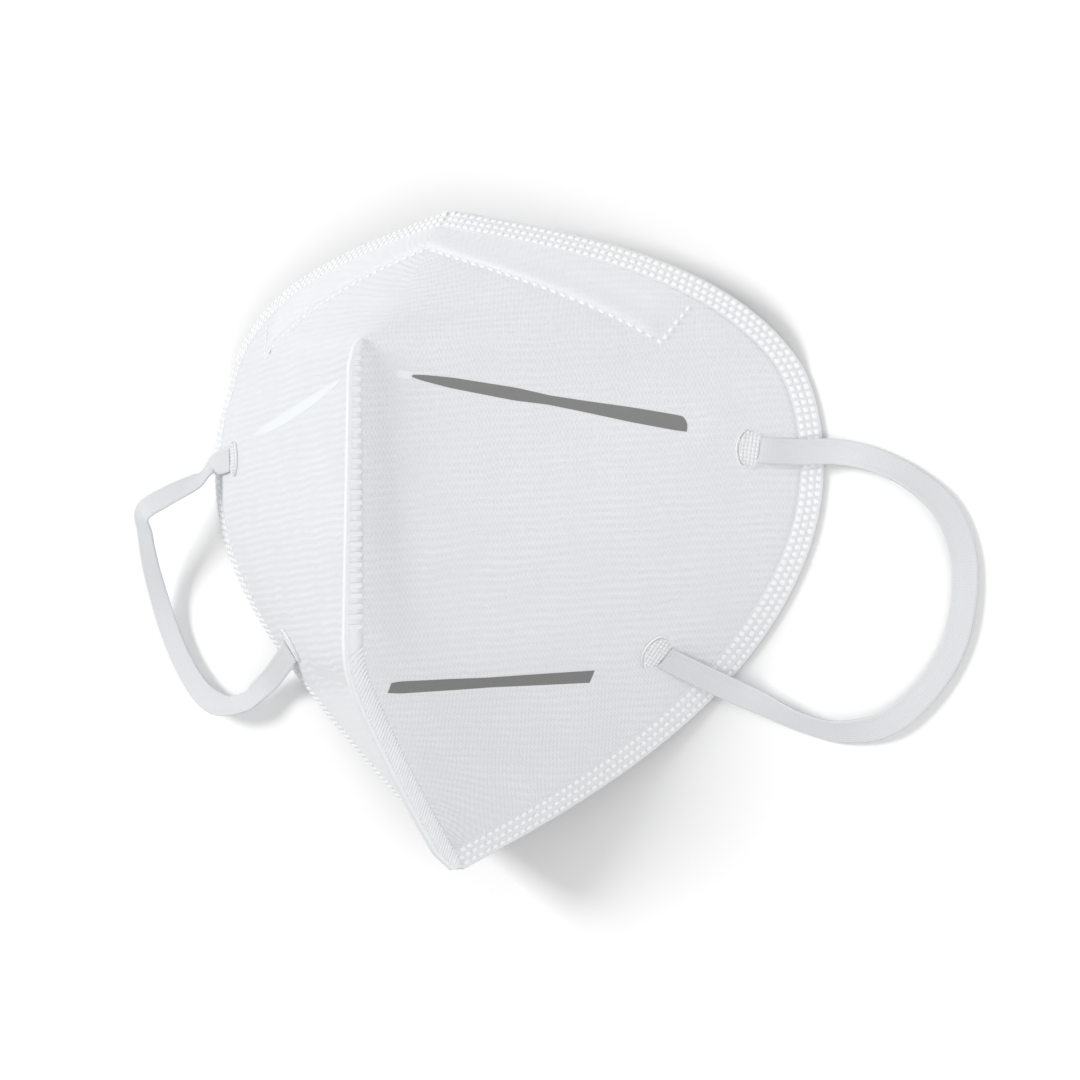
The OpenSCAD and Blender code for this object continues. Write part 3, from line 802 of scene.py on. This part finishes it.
# Five more points close each end of the pocket, from its last corner to the rim
end = pocket_line[-1]
to_rim = np.array([0.0041, 0.0086])
marks += [(end + to_rim * f, to_rim, 0.0013) for f in np.linspace(0.16, 0.94, 5)]
places = []
for at, ahead, long in marks:
    for side in (1, -1):
        lift = float((relief(at[:1] * side, at[1:]) + nose_crown(at[:1], at[1:]))[0]) + 0.00012
        places.append(on_skin(at * [side, 1], ahead * [side, 1], (long, 0.0008, 0.00035), lift))
pocket_points = copies("pocket_points", bevelled_block(0.25), places, point_film_with_highlight)
fold_with_mask(pocket_points, "wire_pocket_seam", slot="weld_film")

# ---- Pressed lines ----
# Two lines on each panel are pressed flat into film, so that the cloth folds and stiffens there.
# Each has a rounded corner, a waist and its own ends; the upper left one is a tapered stripe.
line_film = stamped_film("line film", (0.72, 0.73, 0.745), (0.79, 0.8, 0.81), 0.4)
# The two right lines are coloured dark grey: painted shadow, as if seen through the film into
# shade. The film's own colour is the white of the upper left line.
painted_shadow_film = stamped_film("line film with painted shadow", (0.2, 0.2, 0.2), (0.235, 0.235, 0.235), 0.6)
white_film = stamped_film("white line film", (0.79, 0.83, 0.86), (0.86, 0.89, 0.92), 0.4)


def pressed_strip(name, line, widths, side, finish, bow=0.0, lean=(0.0, 0.0), corner=0.0):
    """A thin strip along a line on the skin; widths are shares along it with the width there.
    Its two ends lean by shares of its length, and corner rounds off the upper one of its end."""
    bpy.ops.object.select_all(action="DESELECT")
    bpy.ops.mesh.primitive_grid_add(x_subdivisions=72, y_subdivisions=6, size=1)
    strip = bpy.context.object
    strip.name = name
    grid = np.array([v.co[:2] for v in strip.data.vertices])
    share, over = grid[:, 0] + 0.5, grid[:, 1]
    way = line[1] - line[0]
    beside = unit(np.array([-way[1], way[0]]))
    knots, values = np.array(widths).T
    fine_share = np.linspace(-0.06, 1.06, 281)
    window = np.hanning(17)
    eased = np.convolve(np.interp(fine_share, knots, values), window / window.sum(), "same")
    wide = np.interp(share, fine_share, eased)
    along = (share + lean[0] * over * (1 - share) ** 8 + lean[1] * over * share ** 8
             - corner * np.maximum(over + 0.1, 0) ** 2 * share ** 8)
    sideways = over * wide + bow * 4 * share * (1 - share)
    flat = line[0] + along[:, None] * way + beside * sideways[:, None]
    fx = flat[:, 0] * side
    height = skin_z(flat[:, 0], flat[:, 1]) + relief(fx, flat[:, 1]) + 0.00008
    strip.data.vertices.foreach_set("co", np.stack([fx, flat[:, 1], height], -1).ravel())
    strip.data.update()
    strip.data.materials.append(finish)
    solid = strip.modifiers.new("thickness", "SOLIDIFY")
    solid.thickness = 0.0002
    solid.offset = -1 if side > 0 else 1
    bpy.context.view_layer.objects.active = strip
    bpy.ops.object.modifier_apply(modifier="thickness")
    face_out(strip)
    bpy.ops.object.shade_smooth_by_angle(angle=math.radians(40))
    return strip


upper_widths = [(0, 0.0002), (0.04, 0.0013), (0.15, 0.0024), (0.38, 0.0029), (0.5, 0.0021),
                (0.62, 0.0025), (0.8, 0.0033), (0.97, 0.0035), (1, 0.0032)]
lower_widths = [(0, 0.0022), (0.05, 0.0028), (0.3, 0.0026), (0.5, 0.0023),
                (0.75, 0.0026), (1, 0.0028)]
taper_widths = [(0, 0.0003), (0.08, 0.0013), (0.3, 0.0026), (0.6, 0.003), (0.85, 0.002),
                (1, 0.0003)]
tip_widths = [(0, 0.0012), (0.2, 0.0018), (1, 0.0016)]
for name, line, widths, side, finish, bow, lean, corner in (
        ("pressed_upper_right", upper_crease, upper_widths, 1, painted_shadow_film, 0, (0, -0.012), 0.05),
        ("pressed_lower_right", lower_crease, lower_widths, 1, painted_shadow_film, 0, (0.04, 0.05), 0.0),
        ("pressed_upper_left", upper_crease, taper_widths, -1, white_film, -0.0012, (0, 0), 0.0),
        ("pressed_lower_left", lower_crease, lower_widths, -1, line_film, 0, (0.04, 0.05), 0.0)):
    strip = pressed_strip(name, line, widths, side, finish, bow, lean, corner)
    fold_with_mask(strip, "crease" + name[7:], slot="weld_film")
# The first few millimetres of the upper right line show the white film, without the painted shadow
# of the rest
tip = upper_crease[0] + (upper_crease[1] - upper_crease[0]) * np.array([[-0.045], [0.008]])
unmelted = pressed_strip("pressed_tip_right", tip, tip_widths, 1, white_film)
fold_with_mask(unmelted, slot="weld_film")

# ---- Ear loop welds ----
# Each end of the elastic is pressed onto the outer ply by an oval stamp. It leaves fine bars
# across the spot and a raised lip on the side away from the strap.
pad_film = stamped_film("weld spot film", (0.74, 0.75, 0.775), (0.83, 0.84, 0.86), 0.5)
lip_film = stamped_film("weld lip film", (0.9, 0.905, 0.915), (0.97, 0.97, 0.975), 0.45)


def oval_pad():
    """An oval disc with a sunk middle, one unit across each way."""
    bpy.ops.object.select_all(action="DESELECT")
    bpy.ops.mesh.primitive_cylinder_add(vertices=48, radius=0.5, depth=1, end_fill_type="NGON")
    pad = bpy.context.object
    bpy.ops.object.mode_set(mode="EDIT")
    bpy.ops.mesh.select_all(action="DESELECT")
    bpy.ops.object.mode_set(mode="OBJECT")
    for face in pad.data.polygons:
        face.select = face.normal.z > 0.9
    bpy.ops.object.mode_set(mode="EDIT")
    bpy.ops.mesh.inset(thickness=0.07)
    bpy.ops.mesh.extrude_region_move(TRANSFORM_OT_translate={"value": (0, 0, -0.35)})
    bpy.ops.object.mode_set(mode="OBJECT")
    soft = pad.modifiers.new("soft edges", "BEVEL")
    soft.width, soft.segments = 0.03, 2
    soft.limit_method, soft.angle_limit = "ANGLE", math.radians(40)
    bpy.ops.object.modifier_apply(modifier="soft edges")
    points = np.array([v.co for v in pad.data.vertices])
    faces = [tuple(f.vertices) for f in pad.data.polygons]
    bpy.data.meshes.remove(pad.data)
    return points, faces


def spot_marks(place, ahead, across_it, normal):
    """Five rows of short bars over a weld spot, and the lip around the side away from the strap."""
    marks = []
    for off in 0.0009 * np.arange(-2, 3):
        half = 0.0039 * math.sqrt(1 - (off / 0.0027) ** 2)
        for mid in 0.00088 * np.arange(-4, 5):
            if abs(mid) < half:
                marks.append((place + ahead * off + across_it * mid + normal * 0.0001,
                              [ahead * 0.00055, across_it * 0.0008, normal * 0.0004]))
    for angle in np.radians(np.arange(-72, 73, 4)):
        cos, sin = math.cos(angle), math.sin(angle)
        at = place - ahead * 0.0027 * cos + across_it * 0.0044 * sin
        tangent = unit(ahead * 0.0027 * sin + across_it * 0.0044 * cos)
        lip = 0.0009 * cos ** 0.5
        marks.append((at + normal * 0.0003,
                      [np.cross(tangent, normal) * lip, tangent * 0.0009, normal * 0.0006]))
    return marks


pad_shape, bar_shape = oval_pad(), bevelled_block(0.2)
for side, body in ((1, "right"), (-1, "left")):
    for level_name, spot, way in (("upper", upper_spot, upper_way),
                                  ("lower", lower_spot, lower_way)):
        here = [np.array(v) * [side, 1, 1] for v in spot_frame(spot, way)]
        place, ahead, across_it, normal = here
        axes = [ahead * 0.0059, across_it * 0.0093, normal * 0.0009]
        pad = copies(f"weld_spot_{level_name}_{body}", pad_shape,
                     [(place - normal * 0.0001, axes)], pad_film)
        face_out(pad)
        bpy.ops.object.shade_smooth_by_angle(angle=math.radians(50))
        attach(pad, f"{body}_half")
        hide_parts(f"loop_weld_{level_name}_{body}")
        marks = copies(f"weld_marks_{level_name}_{body}", bar_shape, spot_marks(*here), lip_film)
        face_out(marks)
        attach(marks, f"{body}_half")

# ---- Floor and light ----
# A plain pale table under a soft lamp that stands beyond the nose, to the left. A wider, weaker
# one fills in from the right.
bpy.ops.object.select_all(action="DESELECT")
bpy.ops.mesh.primitive_plane_add(size=4, location=(0, 0, -0.0002))
floor = bpy.context.object
floor.name = "floor"
floor_paint = Finish("floor paint", 0.9, specular_ior_level=0.1)
floor_paint.shader.inputs["Base Color"].default_value = (0.98, 0.98, 0.98, 1)
floor.data.materials.append(floor_paint.material)


def area_lamp(name, size, energy, place):
    """A square lamp at a place, turned toward the mask."""
    data = bpy.data.lights.new(name, "AREA")
    data.size, data.energy = size, energy
    made = bpy.data.objects.new(name, data)
    bpy.context.scene.collection.objects.link(made)
    made.location = place
    made.rotation_euler = (-Vector(place)).to_track_quat("-Z", "Y").to_euler()


area_lamp("soft lamp", 0.45, 10.7, (-0.86, 0.42, 1.04))
area_lamp("wide fill", 1.0, 7.9, (1.05, -0.2, 0.92))
world = bpy.data.worlds.new("white room")
world.use_nodes = True
world.node_tree.nodes["Background"].inputs[0].default_value = (1, 1, 1, 1)
world.node_tree.nodes["Background"].inputs[1].default_value = 0.47
bpy.context.scene.world = world
bpy.context.scene.view_settings.view_transform = "Standard"
